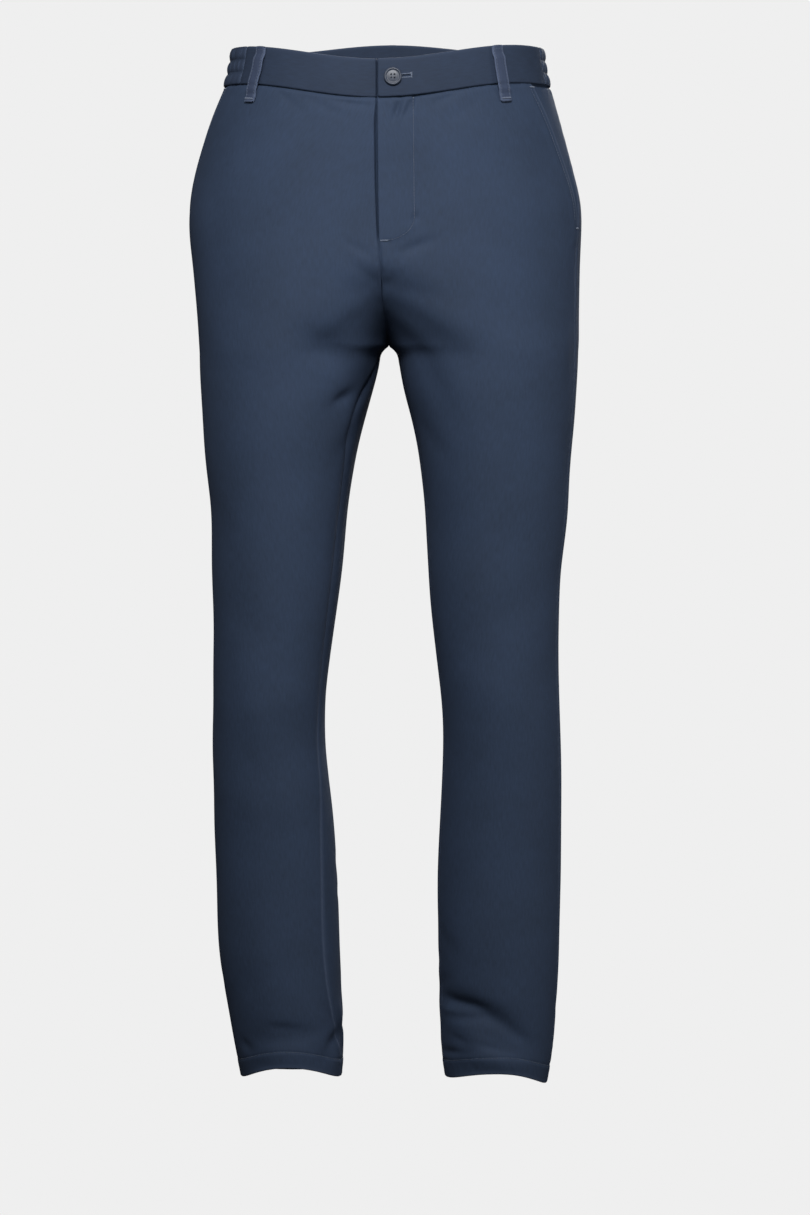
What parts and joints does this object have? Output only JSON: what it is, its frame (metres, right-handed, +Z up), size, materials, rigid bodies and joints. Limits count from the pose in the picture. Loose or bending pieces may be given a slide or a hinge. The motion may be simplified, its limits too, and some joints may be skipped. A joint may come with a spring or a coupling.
{
  "type": "chino trousers",
  "caption": "Long straight-leg chino trousers held open as worn, with a buttoned fly, slanted pockets, belt loops and gathered elastic at the sides of the waistband.",
  "frame": {"origin": "the middle of the waist, level with the waistband's top edge at the sides, where the wearer holds the garment up", "axes": "+Z up, the front faces -Y, the garment's left side is +X"},
  "size_m": [0.3987, 0.2523, 1.0744],
  "materials": {
    "cloth": "fine twill with a soft sheen",
    "button": "semi-gloss"
  },
  "bodies": {
    "root": {"front_left": "cloth", "front_right": "cloth", "back_left": "cloth", "back_right": "cloth", "pocket_facing_left": "cloth", "pocket_facing_right": "cloth", "waistband_front_left": "cloth", "waistband_front_right": "cloth", "waistband_elastic_left": "cloth", "waistband_elastic_right": "cloth", "waistband_back": "cloth", "belt_loop_front_left": "cloth", "belt_loop_front_right": "cloth", "belt_loop_back_left": "cloth", "belt_loop_back_right": "cloth", "belt_loop_centre_back": "cloth", "button": "button"}
  },
  "joints": []
}
